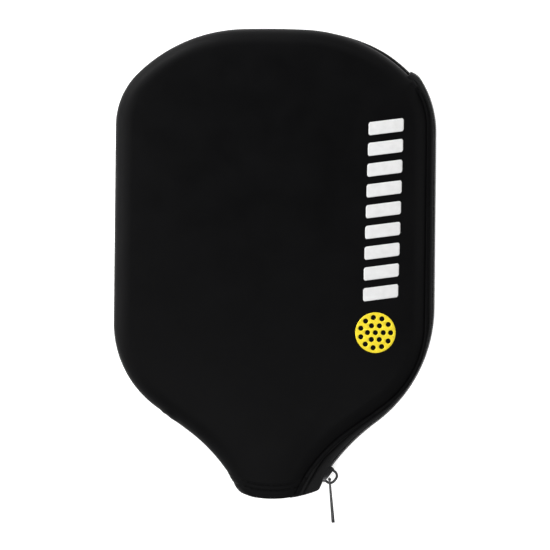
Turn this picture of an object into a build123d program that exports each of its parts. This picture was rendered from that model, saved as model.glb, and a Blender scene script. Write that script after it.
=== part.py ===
from build123d import *
from math import atan2, cos, degrees, radians, sin, tan
import os

# A soft racket-sport paddle case, lying on its back. Millimetres and degrees.
# +Z is up through the front face, +Y runs from the neck towards the crown of the case,
# and +X is the side with the zip. The origin is on the resting face, below the middle of the body.

# ---- body of the case ----
CROWN_Y = 133.6             # top of the case
THICKNESS = 28.0
DOME_RISE = 3.0             # how much lower the front face is at its sides than on its centreline
SEAM_Z = 11.0               # height of the edge seam and of the zip
FRONT_EDGE_RADIUS = 10.0
BACK_EDGE_RADIUS = 8.0
NEOPRENE = 3.5
LINING = 0.6

# half outline of the body, clockwise from the crown: (radius, turn) for a bend, (length,) for a run
CROWN_BEND = (590.0, 2.0)
SHOULDER_BEND = (103.0, 43.0)
UPPER_CORNER_BEND = (48.0, 45.0)
SIDE_RUN = 131.0
LOWER_CORNER_BEND = (68.0, 54.0)
FLANK_RUN = 27.0
NECK_BEND = (111.0, 27.0)
NECK_RUN = 3.0
TRIM_BEND = (20.0, 27.0)    # straightens the neck below the hem, where it is cut away
TRIM_RUN = 12.0

# the hem at the neck is a shallow bow
HEM_BOW_RADIUS = 80.0
HEM_BOW_CENTRE = (2.0, -96.4)

# ---- zip, from the shoulder down the side and the flank to the hem ----
ZIP_SIDE_X = 108.4          # outermost line of the closed coils
ZIP_SIDE_TOP = 65.5
ZIP_SIDE_RUN = 115.5
ZIP_SHOULDER_BEND = (66.5, 32.0)
ZIP_START_BEND = (14.0, 50.0)
ZIP_CORNER_BEND = (95.7, 53.0)
ZIP_NECK_BEND = (140.0, 22.5)
ZIP_END_RUN = 16.0
INSIDE_UPPER_END = (60.0, 80.0)    # closes the zip's plan, well within the body
ZIP_HALF_GAP = 5.6          # from the seam height to the edge of either panel
TAPE = 0.6
COIL = 2.4                  # depth and height of each coil
HALVES_APART = 0.15         # from the seam height to either coil where the zip is closed
OPEN_APART = 1.25           # and past the slider, where it is open
STOP_LENGTH = 3.0
STOP_PROUD = 0.3

# ---- fold line of the opening flap, from the upper end of the zip to the far corner of the neck ----
FOLD_POINT = (92.0, 104.5)
FOLD_HEADING = -110.5
FOLD_GAP = 0.15

# ---- slider, crown and pull tab ----
SLIDER_ANGLE = 146.2        # where the slider rests on the neck bend, about the bend's centre
SLIDER_TILT = -4.0          # it sits a little crooked on the coils
SLIDER_LENGTH = 11.0
SLIDER_FLARE = (4.2, 0.7)   # it widens between these two distances behind its middle
SLIDER_PLATE = 1.0
SLIDER_FLANGE = 0.6
SLIDER_FRONT_HALF = 4.55
SLIDER_REAR_HALF = 3.3
SLIDER_OUTER_FACE = 1.75    # outer face of the outer plate, from the coils' outermost line
SLIDER_INNER_FACE = -4.65
FLANGE_REACH = -1.7
DIAMOND_HALF = 1.0
DIAMOND_START = 0.5
DIAMOND_FULL = 2.5
CROWN_WIRE = 1.6
CROWN_LENGTH = 10.1
CROWN_HEIGHT = 5.75
CROWN_HALF_WIDTH = 1.2
CROWN_BEND_RADIUS = 4.2
PIVOT_XY = (39.9, -164.0)
PIVOT_RADIUS = 0.8
TAB_HEADING = -84.65
TAB_LENGTH = 28.9
TAB_HALF_WIDTH = 3.75
TAB_THIN = 0.9
TAB_THICK = 1.8
TAB_WINDOW = (0.8, 5.8)
TAB_WINDOW_HALF = 1.7
TAB_CORNER = 2.5
# the coils and tapes that the slider passes over start a little before its furthest place
NECK_START_ANGLE = 127.6

# ---- trim ----
BINDING = 0.8
BINDING_HALF = 4.0
BINDING_CLEAR_OF_FOLD = 3.0
THREAD = 0.3
STITCH_LENGTH = 2.5
STITCH_PITCH = 4.0
HEM_STITCH_RADII = (71.0, 74.4)
HEM_STITCH_SPAN = 13.0      # half the angle that the hem stitches cover, about the bow's centre
ZIP_STITCH_INSET = 1.2      # from the edge of the panel to its row of stitches
ZIP_STITCH_REACH = 4.0      # wide enough to meet the rounded edge on either side of its outline
FILM = 0.12
BAR_COUNT = 9
BAR_PITCH = 13.6
BAR_HEIGHT = 8.6
BAR_WIDTH = 23.0
BAR_SLANT = 4.0
BARS_TOP = (74.2, 68.6)     # centre of the top bar
BARS_LEAN = 1.3
BALL_CENTRE = (68.6, -66.4)
BALL_RADIUS = 13.3
BALL_HOLE_RADIUS = 1.7
BALL_RINGS = ((0.0, 1), (5.2, 6), (10.0, 11))

TALL = 60.0                 # cutting tools run well past the case
FAR = 400.0


def polar(centre, radius, angle):
    return centre[0] + radius * cos(radians(angle)), centre[1] + radius * sin(radians(angle))


def trace(start, heading, moves, side=1):
    """Edges of a tangent path: a move is (length,) or (radius, turn), and a left turn is positive."""
    x, y = start
    edges = []
    for move in moves:
        if len(move) == 1:
            middle = None
            x1, y1 = polar((x, y), move[0], heading)
        else:
            radius, turn = move
            to_centre = heading + (90 if turn > 0 else -90)
            centre = polar((x, y), radius, to_centre)
            middle = polar(centre, radius, to_centre + 180 + turn / 2)
            x1, y1 = polar(centre, radius, to_centre + 180 + turn)
            heading += turn
        ends = (side * x, y), (side * x1, y1)
        if middle is None:
            edges.append(Edge.make_line(*ends))
        else:
            edges.append(Edge.make_three_point_arc(ends[0], (side * middle[0], middle[1]), ends[1]))
        x, y = x1, y1
    return edges, (x, y)


def right(bend, inset):
    """A right turn, on a line that lies inset to the right of the named one."""
    return bend[0] - inset, -bend[1]


def left(bend, inset):
    return bend[0] + inset, bend[1]


def body_outline(inset):
    """The plan of the body, moved inwards by inset."""
    moves = [
        right(CROWN_BEND, inset),
        right(SHOULDER_BEND, inset),
        right(UPPER_CORNER_BEND, inset),
        (SIDE_RUN,),
        right(LOWER_CORNER_BEND, inset),
        (FLANK_RUN,),
        left(NECK_BEND, inset),
        (NECK_RUN,),
        left(TRIM_BEND, inset),
        (TRIM_RUN,),
    ]
    start = (0, CROWN_Y - inset)
    right_half, end = trace(start, 0, moves)
    left_half, _ = trace(start, 0, moves, side=-1)
    foot = Edge.make_line(end, (-end[0], end[1]))
    return Face(Wire(right_half + left_half + [foot]))


def prism(plan, low, high):
    return extrude(Pos(0, 0, low) * plan, high - low, dir=(0, 0, 1))


def domed_body(inset):
    """The whole body as one solid, moved inwards by inset on every side."""
    dome_radius = ZIP_SIDE_X**2 / (2 * DOME_RISE)
    dome = Pos(0, 0, THICKNESS - dome_radius) * Rot(90, 0, 0) * Cylinder(dome_radius - inset, 2 * FAR)
    body = prism(body_outline(inset), inset, THICKNESS - inset) & dome
    for face, radius in ((-1, FRONT_EDGE_RADIUS), (0, BACK_EDGE_RADIUS)):
        rim = body.faces().sort_by(Axis.Z)[face].edges().sort_by(Axis.Y)[1:]
        body = fillet(rim, radius - inset)
    return body


def block(x, y, z):
    """A box from three pairs of limits."""
    size = [high - low for low, high in (x, y, z)]
    centre = [(high + low) / 2 for low, high in (x, y, z)]
    return Pos(*centre) * Box(*size)


def level(low, high):
    return block((-FAR, FAR), (-FAR, FAR), (low, high))


def beside_fold(low, high):
    """The space that is low to high to the right of the fold line."""
    across = polar((0, 0), 1, FOLD_HEADING + 90)
    frame = Plane(origin=(*FOLD_POINT, 0), x_dir=(*across, 0), z_dir=(0, 0, 1))
    return frame.location * block((low, high), (-FAR, FAR), (-TALL, TALL))


def below_hem():
    """What the hem's bow cuts away."""
    ends = [polar(HEM_BOW_CENTRE, HEM_BOW_RADIUS, angle) for angle in (-150, -30)]
    corners = [(x, -FAR) for x, _ in reversed(ends)]
    edges = [
        Edge.make_three_point_arc(ends[0], polar(HEM_BOW_CENTRE, HEM_BOW_RADIUS, -90), ends[1]),
        Edge.make_line(ends[1], corners[0]),
        Edge.make_line(*corners),
        Edge.make_line(corners[1], ends[0]),
    ]
    return prism(Face(Wire(edges)), -TALL, TALL)


def zip_outline(inset):
    """The plan inside the zip's outermost line, moved inwards by inset and closed within the case."""
    start = (ZIP_SIDE_X - inset, ZIP_SIDE_TOP)
    up = [(bend[0] - inset, bend[1]) for bend in (ZIP_SHOULDER_BEND, ZIP_START_BEND)]
    upper, upper_end = trace(start, 90, up)
    down = [(ZIP_SIDE_RUN,), right(ZIP_CORNER_BEND, inset), left(ZIP_NECK_BEND, inset), (ZIP_END_RUN,)]
    lower, lower_end = trace(start, -90, down)
    inside = [lower_end, (0, lower_end[1]), (0, 0), INSIDE_UPPER_END, upper_end]
    closing = [Edge.make_line(a, b) for a, b in zip(inside, inside[1:])]
    return Face(Wire(upper + lower + closing))


def zip_strip(outer, inner, low, high):
    """The band between two lines of the zip, from one height to another."""
    return prism(zip_outline(outer), low, high) - prism(zip_outline(inner), low - 1, high + 1)


def zip_neck_centre():
    corner = (ZIP_SIDE_X - ZIP_CORNER_BEND[0], ZIP_SIDE_TOP - ZIP_SIDE_RUN)
    return polar(corner, ZIP_CORNER_BEND[0] + ZIP_NECK_BEND[0], -ZIP_CORNER_BEND[1])


NECK_CENTRE = zip_neck_centre()


def past_angle(angle):
    """The space on the hem's side of a line from the neck bend's centre."""
    frame = Plane(origin=(*NECK_CENTRE, 0), x_dir=(*polar((0, 0), 1, angle), 0), z_dir=(0, 0, 1))
    return frame.location * block((0, FAR), (0, FAR), (-TALL, TALL))


def mirrored(shape):
    """The same shape on the other side of the seam height."""
    return mirror(shape, Plane.XY.offset(SEAM_Z))


SKIN = domed_body(0)
SKIN_INSIDE = domed_body(NEOPRENE)
CAVITY = domed_body(NEOPRENE + LINING)
HEM_CUT = below_hem()
FLAP_SIDE = beside_fold(FOLD_GAP, FAR)
FIXED_SIDE = beside_fold(-FAR, -FOLD_GAP)
ABOVE_SEAM = level(SEAM_Z, TALL)
BELOW_SEAM = level(-TALL, SEAM_Z)
CAVITY_PRISM = prism(body_outline(NEOPRENE + LINING), -TALL, TALL)
ZIP_ZONE = (beside_fold(-FOLD_GAP, FAR) & level(SEAM_Z - ZIP_HALF_GAP, SEAM_Z + ZIP_HALF_GAP)) - CAVITY_PRISM
NECK_ZONE = past_angle(NECK_START_ANGLE)


def layer(outer, inner, half):
    """One layer of the wall on one side of the seam, open along the zip and at the hem."""
    return ((outer - inner) & half) - ZIP_ZONE - HEM_CUT


def seam_binding():
    """The tape that covers the edge seam on the inside, all round but for the zip."""
    ring = CAVITY - domed_body(NEOPRENE + LINING + BINDING)
    ring = ring & level(SEAM_Z - BINDING_HALF, SEAM_Z + BINDING_HALF)
    return (ring & beside_fold(-FAR, -BINDING_CLEAR_OF_FOLD)) - HEM_CUT


def front_tape():
    """A flat part under the panel's edge, and an upright part that carries the coil."""
    flat_low = SEAM_Z + ZIP_HALF_GAP - TAPE
    flat = prism(zip_outline(COIL), flat_low, flat_low + TAPE) - CAVITY_PRISM
    upright = zip_strip(COIL, COIL + TAPE, SEAM_Z + HALVES_APART, flat_low + TAPE)
    upright = upright - (CAVITY_PRISM & level(-TALL, flat_low))
    return ((flat + upright) & beside_fold(-FOLD_GAP, FAR)) - HEM_CUT


def open_gap():
    """The space that parts the two halves of the zip between the slider and the hem."""
    return past_angle(SLIDER_ANGLE) & level(-TALL, SEAM_Z + OPEN_APART)


def front_coil():
    """The upper coil along the whole zip, raised where the zip is open, up to its end stop."""
    coil = zip_strip(0, COIL, SEAM_Z + HALVES_APART, SEAM_Z + HALVES_APART + COIL)
    open_coil = zip_strip(0, COIL, SEAM_Z + OPEN_APART, SEAM_Z + OPEN_APART + COIL)
    coil = (coil - open_gap()) + (open_coil & past_angle(SLIDER_ANGLE))
    return (coil & beside_fold(-FOLD_GAP, FAR)) - CAVITY_PRISM - end_stop_zone()


def end_stop_zone():
    """The last stretch of the coils at the hem, as long as an end stop."""
    return (Pos(0, STOP_LENGTH, 0) * below_hem()) & past_angle(NECK_START_ANGLE)


def front_end_stop():
    stop = zip_strip(-STOP_PROUD, COIL, SEAM_Z + OPEN_APART, SEAM_Z + OPEN_APART + COIL + STOP_PROUD)
    return (stop & end_stop_zone()) - HEM_CUT - CAVITY_PRISM


def top_stop():
    """The clip that joins both coils where the zip starts."""
    reach = COIL + HALVES_APART + STOP_PROUD
    stop = zip_strip(-STOP_PROUD, COIL + TAPE, SEAM_Z - reach, SEAM_Z + reach)
    return (stop & beside_fold(-FOLD_GAP - STOP_LENGTH, -FOLD_GAP)) - SKIN


def slider_frame():
    """x along the coils towards the hem, y out of the case, z up."""
    place = polar(NECK_CENTRE, ZIP_NECK_BEND[0], SLIDER_ANGLE)
    along = polar((0, 0), 1, SLIDER_ANGLE + 90 + SLIDER_TILT)
    return Plane(origin=(*place, SEAM_Z), x_dir=(*along, 0), z_dir=(0, 0, 1)).location


def slider_plan(inset):
    """The Y-shaped outline of the slider's plates, in its own x and z."""
    end = SLIDER_LENGTH / 2
    rear, front = SLIDER_REAR_HALF - inset, SLIDER_FRONT_HALF - inset
    half = [(-end, rear), (-SLIDER_FLARE[0], rear), (-SLIDER_FLARE[1], front), (end, front)]
    points = half + [(x, -z) for x, z in reversed(half)]
    return Polygon(*points, align=None)


def across_coils(plan, low, high):
    """A plan in the slider's x and z, made solid between two depths."""
    frame = Plane(origin=(0, low, 0), x_dir=(1, 0, 0), z_dir=(0, 1, 0))
    return extrude(frame.location * plan, high - low, dir=(0, 1, 0))


def slider_body():
    outer_low = SLIDER_OUTER_FACE - SLIDER_PLATE
    inner_high = SLIDER_INNER_FACE + SLIDER_PLATE
    plates = across_coils(slider_plan(0), outer_low, SLIDER_OUTER_FACE)
    plates = plates + across_coils(slider_plan(0), SLIDER_INNER_FACE, inner_high)
    flanges = across_coils(slider_plan(0), FLANGE_REACH, outer_low)
    channel = across_coils(slider_plan(SLIDER_FLANGE), FLANGE_REACH - 1, outer_low)
    flanges = flanges - channel
    end = SLIDER_LENGTH / 2
    wedge = [(DIAMOND_START, 0), (DIAMOND_FULL, DIAMOND_HALF), (end, DIAMOND_HALF)]
    wedge = Polygon(*wedge, *[(x, -z) for x, z in reversed(wedge[1:])], align=None)
    diamond = across_coils(wedge, inner_high, outer_low)
    return slider_frame() * (plates + flanges + diamond)


def arch(length, height, bend):
    """An arch's outline, standing on the x axis."""
    outline = Pos(0, height / 2) * Rectangle(length, height)
    return fillet(outline.vertices().sort_by(Axis.Y)[2:], bend)


def slider_crown():
    outer = arch(CROWN_LENGTH, CROWN_HEIGHT, CROWN_BEND_RADIUS)
    inner = arch(CROWN_LENGTH - 2 * CROWN_WIRE, CROWN_HEIGHT - CROWN_WIRE, CROWN_BEND_RADIUS - CROWN_WIRE)
    strip = extrude(outer - inner, CROWN_HALF_WIDTH, both=True)
    return slider_frame() * (Pos(0, SLIDER_OUTER_FACE, 0) * strip)


def pull_tab():
    """A tapered plate whose windowed end hangs on a bar under the crown."""
    profile = Polygon(
        (0, TAB_THIN / 2),
        (TAB_LENGTH, TAB_THICK / 2),
        (TAB_LENGTH, -TAB_THICK / 2),
        (0, -TAB_THIN / 2),
        align=None,
    )
    plate = extrude(profile, TAB_HALF_WIDTH, both=True)
    corners = plate.edges().filter_by(Axis.Y).sort_by(Axis.X)[2:]
    plate = fillet(corners, TAB_CORNER)
    plate = plate - block(TAB_WINDOW, (-TAB_THICK, TAB_THICK), (-TAB_WINDOW_HALF, TAB_WINDOW_HALF))
    bar = Cylinder(PIVOT_RADIUS, 2 * TAB_HALF_WIDTH)
    along = polar((0, 0), 1, TAB_HEADING)
    frame = Plane(origin=(*PIVOT_XY, SEAM_Z), x_dir=(*along, 0), z_dir=(0, 0, 1))
    return frame.location * (plate + bar)


def stitch_box(place, heading, half_width):
    """The upright slot that one stitch fills, wherever it lies on the skin."""
    slot = block((-STITCH_LENGTH / 2, STITCH_LENGTH / 2), (-half_width, half_width), (-TALL, TALL))
    return Pos(*place, 0) * Rot(0, 0, heading) * slot


def hem_stitches(thread_layer):
    """Two rows that follow the hem's bow."""
    boxes = []
    for radius in HEM_STITCH_RADII:
        step = degrees(STITCH_PITCH / radius)
        count = int(HEM_STITCH_SPAN / step)
        for k in range(-count, count + 1):
            angle = -90 + k * step
            boxes.append(stitch_box(polar(HEM_BOW_CENTRE, radius, angle), angle + 90, THREAD))
    return thread_layer & Compound(children=boxes)


def zip_stitches(thread_layer, low):
    """One row along the panel's edge beside the zip."""
    moves = [
        right(CROWN_BEND, 0),
        right(SHOULDER_BEND, 0),
        right(UPPER_CORNER_BEND, 0),
        (SIDE_RUN,),
        right(LOWER_CORNER_BEND, 0),
        (FLANK_RUN,),
        left(NECK_BEND, 0),
    ]
    edge_line = Wire(trace((0, CROWN_Y), 0, moves)[0])
    row = thread_layer & level(low, low + 2 * THREAD)
    count = int(edge_line.length / STITCH_PITCH)
    boxes = []
    for k in range(count):
        place = edge_line.position_at(k / count)
        tangent = edge_line.tangent_at(k / count)
        heading = degrees(atan2(tangent.Y, tangent.X))
        boxes.append(stitch_box((place.X, place.Y), heading, ZIP_STITCH_REACH))
    return (row & Compound(children=boxes)) & beside_fold(STITCH_PITCH, FAR)


def print_bars(film):
    """A column of slanted bars."""
    boxes = []
    slant = tan(radians(BAR_SLANT)) * BAR_WIDTH
    for k in range(BAR_COUNT):
        drop = k * BAR_PITCH
        x = BARS_TOP[0] - drop * tan(radians(BARS_LEAN))
        y = BARS_TOP[1] - drop
        half_w, half_h = BAR_WIDTH / 2, BAR_HEIGHT / 2
        bar = Polygon(
            (x - half_w, y - half_h - slant),
            (x + half_w, y - half_h + slant),
            (x + half_w, y + half_h + slant),
            (x - half_w, y + half_h - slant),
            align=None,
        )
        boxes.append(prism(bar, SEAM_Z, TALL))
    return film & Compound(children=boxes)


def print_ball(film):
    """A disc with round holes in it, as a ball full of holes looks."""
    disc = Pos(*BALL_CENTRE) * Circle(BALL_RADIUS)
    for radius, count in BALL_RINGS:
        for k in range(count):
            disc = disc - Pos(*polar(BALL_CENTRE, radius, 360 * k / count)) * Circle(BALL_HOLE_RADIUS)
    return film & prism(disc, SEAM_Z, TALL)


def build():
    """Every separate piece, by its node's name. The back hem's stitches lie sunk in the resting face."""
    front = layer(SKIN, SKIN_INSIDE, ABOVE_SEAM)
    front_lining = layer(SKIN_INSIDE, CAVITY, ABOVE_SEAM)
    tape, coil = front_tape(), front_coil()
    closed_tape = tape - NECK_ZONE
    neck_tape = (tape & NECK_ZONE) - open_gap()
    closed_coil, neck_coil = coil - NECK_ZONE, coil & NECK_ZONE
    threads = (domed_body(-THREAD) - SKIN) - HEM_CUT
    sunk_threads = ((SKIN - domed_body(THREAD)) & BELOW_SEAM) - HEM_CUT
    film = (domed_body(-FILM) - SKIN) & ABOVE_SEAM
    front_hem = hem_stitches(threads & ABOVE_SEAM)
    back_hem = hem_stitches(sunk_threads)
    bars = print_bars(film)
    front_row = SEAM_Z + ZIP_HALF_GAP + ZIP_STITCH_INSET
    back_row = SEAM_Z - ZIP_HALF_GAP - ZIP_STITCH_INSET - 2 * THREAD
    return {
        "back_panel": layer(SKIN, SKIN_INSIDE, BELOW_SEAM) - back_hem,
        "back_lining": layer(SKIN_INSIDE, CAVITY, BELOW_SEAM),
        "front_panel": front & FIXED_SIDE,
        "front_lining": front_lining & FIXED_SIDE,
        "seam_binding": seam_binding(),
        "front_flap": front & FLAP_SIDE,
        "flap_lining": front_lining & FLAP_SIDE,
        "zip_tape_front": closed_tape & FLAP_SIDE,
        "zip_tape_front_neck": neck_tape,
        "zip_tape_back": mirrored(closed_tape),
        "zip_tape_back_neck": mirrored(neck_tape),
        "zip_coil_front": closed_coil & FLAP_SIDE,
        "zip_coil_front_neck": neck_coil,
        "zip_coil_back": mirrored(closed_coil),
        "zip_coil_back_neck": mirrored(neck_coil),
        "zip_top_stop": top_stop(),
        "zip_end_stop_front": front_end_stop(),
        "zip_end_stop_back": mirrored(front_end_stop()),
        "zip_stitches_front": zip_stitches(threads, front_row),
        "zip_stitches_back": zip_stitches(threads, back_row),
        "hem_stitches_flap": front_hem & FLAP_SIDE,
        "hem_stitches_front": front_hem & FIXED_SIDE,
        "hem_stitches_back": back_hem,
        "slider_body": slider_body(),
        "slider_crown": slider_crown(),
        "pull_tab": pull_tab(),
        "print_bars_flap": bars & FLAP_SIDE,
        "print_bars_panel": bars & FIXED_SIDE,
        "print_ball": print_ball(film) & FLAP_SIDE,
    }


os.makedirs("parts", exist_ok=True)
for name, shape in build().items():
    export_step(Compound(children=list(shape.solids())), f"parts/{name}.step")
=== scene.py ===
from math import ceil, copysign, cos, pi, radians, sin, tan

import bmesh
import bpy
import numpy as np
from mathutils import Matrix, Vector, noise
from mathutils.bvhtree import BVHTree


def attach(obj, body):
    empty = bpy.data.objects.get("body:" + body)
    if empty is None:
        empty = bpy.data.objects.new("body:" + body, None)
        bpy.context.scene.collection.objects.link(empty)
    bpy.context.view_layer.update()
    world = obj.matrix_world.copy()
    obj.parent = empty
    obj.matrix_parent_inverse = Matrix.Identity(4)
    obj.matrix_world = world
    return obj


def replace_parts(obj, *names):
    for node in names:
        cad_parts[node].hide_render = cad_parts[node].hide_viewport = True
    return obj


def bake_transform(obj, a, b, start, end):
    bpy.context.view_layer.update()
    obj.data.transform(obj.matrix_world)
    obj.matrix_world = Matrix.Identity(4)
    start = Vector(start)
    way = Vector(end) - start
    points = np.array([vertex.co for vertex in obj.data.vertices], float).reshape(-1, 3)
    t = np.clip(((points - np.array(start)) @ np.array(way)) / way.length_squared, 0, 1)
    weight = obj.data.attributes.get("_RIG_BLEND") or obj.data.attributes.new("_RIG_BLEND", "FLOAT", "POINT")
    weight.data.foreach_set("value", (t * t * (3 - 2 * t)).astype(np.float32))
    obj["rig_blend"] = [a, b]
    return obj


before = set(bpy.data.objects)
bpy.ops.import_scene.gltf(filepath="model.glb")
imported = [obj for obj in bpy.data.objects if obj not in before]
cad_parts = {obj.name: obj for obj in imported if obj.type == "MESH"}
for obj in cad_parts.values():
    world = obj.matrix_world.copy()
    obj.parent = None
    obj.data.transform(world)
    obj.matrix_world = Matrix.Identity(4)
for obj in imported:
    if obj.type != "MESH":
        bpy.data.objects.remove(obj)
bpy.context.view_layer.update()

MM = 0.001

# ---- what the frame was made from, in millimetres and degrees ----
CROWN_Y = 133.6
THICKNESS = 28.0
DOME_RISE = 3.0
SEAM_Z = 11.0
NEOPRENE = 3.5
LINING = 0.6
BODY_MOVES = ((590.0, -2.0), (103.0, -43.0), (48.0, -45.0), (131.0,), (68.0, -54.0),
              (27.0,), (111.0, 27.0), (3.0,), (20.0, 27.0), (12.0,))
HEM_BOW_RADIUS = 80.0
HEM_BOW_CENTRE = (2.0, -96.4)
ZIP_SIDE = (108.4, 65.5)
ZIP_UP = ((66.5, 32.0), (14.0, 50.0))
ZIP_DOWN = ((115.5,), (95.7, -53.0), (140.0, 22.5), (16.0,))
ZIP_HALF_GAP = 5.6
TAPE = 0.6
COIL = 2.4
FOLD_POINT = (92.0, 104.5)
FOLD_HEADING = -110.5
SLIDER_ANGLE = 146.2        # where the slider rests, about the centre of the zip's bend at the neck
TAB_HEADING = -84.65
HEM_STITCH_RADII = (71.0, 74.4)
HEM_STITCH_SPAN = 13.0
HEM_STITCH_LEFT = 18.0      # the rows run on to the left, down the sheet's rounded edge
STITCH_PITCH = 4.0
BAR_COUNT = 9
BAR_PITCH = 13.6
BAR_SIZE = (23.0, 8.6)
BAR_SLANT = 4.0
BARS_TOP = (74.2, 68.6)
BARS_LEAN = 1.3
BALL_CENTRE = (68.6, -66.4)
BALL_RADIUS = 13.3
BALL_HOLE_RADIUS = 1.7
BALL_RINGS = ((0.0, 1), (5.2, 6), (10.0, 11))

# ---- how the soft parts differ from the plain frame, in millimetres ----
FRONT_ROLL = 12.0           # how far in from its outline the front sheet rolls over
BACK_ROLL = 8.5
SHOULDER_DROP = 4.0         # the front sinks by this much more near its edge
SHOULDER_REACH = 20.0
CENTRE_RIDGE = 16.0         # but not along the neck's centreline, where the sheet stays full
LENGTH_DOME = 1.75          # the front also falls away towards the crown and the neck
DOME_TOP_Y = 20.0
LIP = 0.9                   # the sheet turns in at the seam
LIP_COLUMNS = 3             # grid columns that the turned-in lip takes up
LIP_FADE = 9.0              # how fast the lip gives way to the rounded edge
FRONT_STEPS = 22            # grid columns round each sheet's edge
BACK_STEPS = 20
ACROSS_STEPS = 40           # and on from there to the middle line
FRONT_RISE = 0.8            # powers that shape each sheet's rounded edge
BACK_RISE = 0.72
ROLL_SHAPE = 0.9
SEAM_HALF_GAP = 0.15        # from the seam height to either sheet's closed edge
MIDDLE_PULL = 0.3           # how straight each grid row leaves the edge and meets the middle line
SLACK_REACH = 12.0          # beside the zip the front's edge is softer, from this far past the fold line
PUCKER_DEPTH = 0.11         # the zip's stitches pull the front's edge into small waves
PUCKER_REACH = 6.0
BACK_PEEK = 0.7             # how far the back sheet stands out past the seam
BACK_PEEK_TOP = 2.2         # and by how much more along the shoulder beside the zip's top end
PEEK_START_X = 35.0
PEEK_REACH = 45.0
HEM_BAND_RADIUS = 70.3      # upper edge of the folded hem, about the bow's centre
HEM_BAND_PROUD = 0.55
STITCH_SINK = 0.3           # depth of the dip under a row of stitches
TAPE_TUCK = 3.0             # how far each tape runs on under its panel
GROOVE_PLACE = 0.9          # the tape dips beside the panel's edge, this far out from it
GROOVE_WIDTH = 1.1
GROOVE_DEPTH = 1.9
NECK_REACH = 34.0           # the tapes' inner edges reach the hem's corner over this length
ZIP_TUCK = -2.2             # the tapes and coils start here from the fold line, just under the sheet
HEM_ZONE_Y = -120.0         # the hem's bow only counts below this Y
HEM_EASE = 34.0             # the sheet's last rows turn to follow the bow over this length
HEM_CORNER = 5.0            # radius of the hem's corners
CORNER_REACH = 18.0
BINDING_HALF = 4.0
BINDING_THICK = 0.7
TAB_SWELL = 0.3             # share by which the pull tab is drawn thicker than the frame's
BLEND_WIDTH = 60.0          # the front bends over this width beside the fold line
FINE_HEM = 0.037            # share of the half outline, at the hem, whose grid rows are close together
COARSE_ROWS = 240
FINE_ROWS = 44
SURFACE_NOISE = 0.3

# ---- coils, clip and printed film ----
COIL_PITCH = 1.3
COIL_WIRE = 0.31
COIL_CORD = 0.5             # radius of the cord inside the coil
COIL_STEPS = 12             # points in each turn
COIL_DEEP = 0.92
COIL_TALL = 1.42
COIL_INSET = 1.3
COIL_RAISE = 1.12
COIL_OPEN = 1.1             # how much further the coils part past the slider
COIL_ENDS = (0.4, 2.5)      # left free at the top and at the hem
CLIP_PLACE = 1.4            # along the zip line, from its hidden start
CLIP_HALF_HEIGHT = 2.5
CLIP_HALF_WIDTH = 1.25
CLIP_HALF_THICK = 0.28
CLIP_BEND = 1.0
CLIP_PROUD = -0.75
STITCH_WIRE = 0.27
FILM_LIFT = 0.03
FILM_THICK = 0.1
BAR_CORNER = 1.1
BALL_EDGE = 1.6             # longer edges in the ball's mesh are halved, twice

# ---- view, in metres and degrees ----
VIEW_CENTRE = Vector((0.0024, -0.0293, 0.014))
VIEW_WIDTH = 0.3632
VIEW_DISTANCE = 1.45
VIEW_ROLL = 0.6
FLOOR_HALF = 4.0
FLOOR_DROP = 0.0004         # keeps the floor just clear of the case


def walk(start, heading, moves, step=1.0):
    """Points of a tangent path and its heading at each: a move is (length,) or (radius, turn)."""
    x, y = start
    points, headings = [start], [heading]
    for move in moves:
        bend = len(move) == 2
        length = move[0] * abs(radians(move[1])) if bend else move[0]
        count = max(2, ceil(length / step))
        for k in range(1, count + 1):
            share = k / count
            if bend:
                to_centre = radians(heading + copysign(90, move[1]))
                angle = to_centre + pi + radians(move[1]) * share
                px = x + move[0] * (cos(to_centre) + cos(angle))
                py = y + move[0] * (sin(to_centre) + sin(angle))
            else:
                px = x + move[0] * share * cos(radians(heading))
                py = y + move[0] * share * sin(radians(heading))
            points.append((px, py))
            headings.append(heading + (move[1] * share if bend else 0))
        x, y = points[-1]
        heading = headings[-1]
    return np.array(points, float), np.array(headings, float)


def lengths(points):
    """Distance along a polyline at each of its points."""
    return np.concatenate([[0], np.cumsum(np.linalg.norm(np.diff(points, axis=0), axis=1))])


def resample(points, places, *others):
    """The polyline's point, and each other row of values, at given distances along it."""
    along = lengths(points)
    at = [np.stack([np.interp(places, along, column) for column in points.T], axis=1)]
    return at + [np.interp(places, along, other) for other in others]


def smooth(value):
    """A ramp from 0 to 1 that eases in and out."""
    value = np.clip(value, 0, 1)
    return value * value * (3 - 2 * value)


def past_fold(x, y):
    """Distance to the right of the fold line."""
    across = radians(FOLD_HEADING + 90)
    return (x - FOLD_POINT[0]) * cos(across) + (y - FOLD_POINT[1]) * sin(across)


def from_bow_centre(points):
    return np.hypot(points[:, 0] - HEM_BOW_CENTRE[0], points[:, 1] - HEM_BOW_CENTRE[1])


def within_hem(points):
    """Whether each point is above the hem."""
    return (points[:, 1] > HEM_ZONE_Y) | (from_bow_centre(points) < HEM_BOW_RADIUS)


def hem_y(x):
    """The hem's bow."""
    return HEM_BOW_CENTRE[1] - np.sqrt(HEM_BOW_RADIUS**2 - (x - HEM_BOW_CENTRE[0]) ** 2)


def corner_inset(from_hem):
    """How far the side is drawn in, at a distance from the hem, to round the hem's corner."""
    into = np.clip(HEM_CORNER - from_hem, 0, HEM_CORNER)
    return HEM_CORNER - np.sqrt(HEM_CORNER**2 - into**2)


def outward(headings, side=1):
    """Unit normals out of the case, for a path that runs clockwise on the right or its mirror image."""
    turn = np.radians(headings + 90)
    return np.stack([side * np.cos(turn), np.sin(turn)], axis=1)


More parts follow.
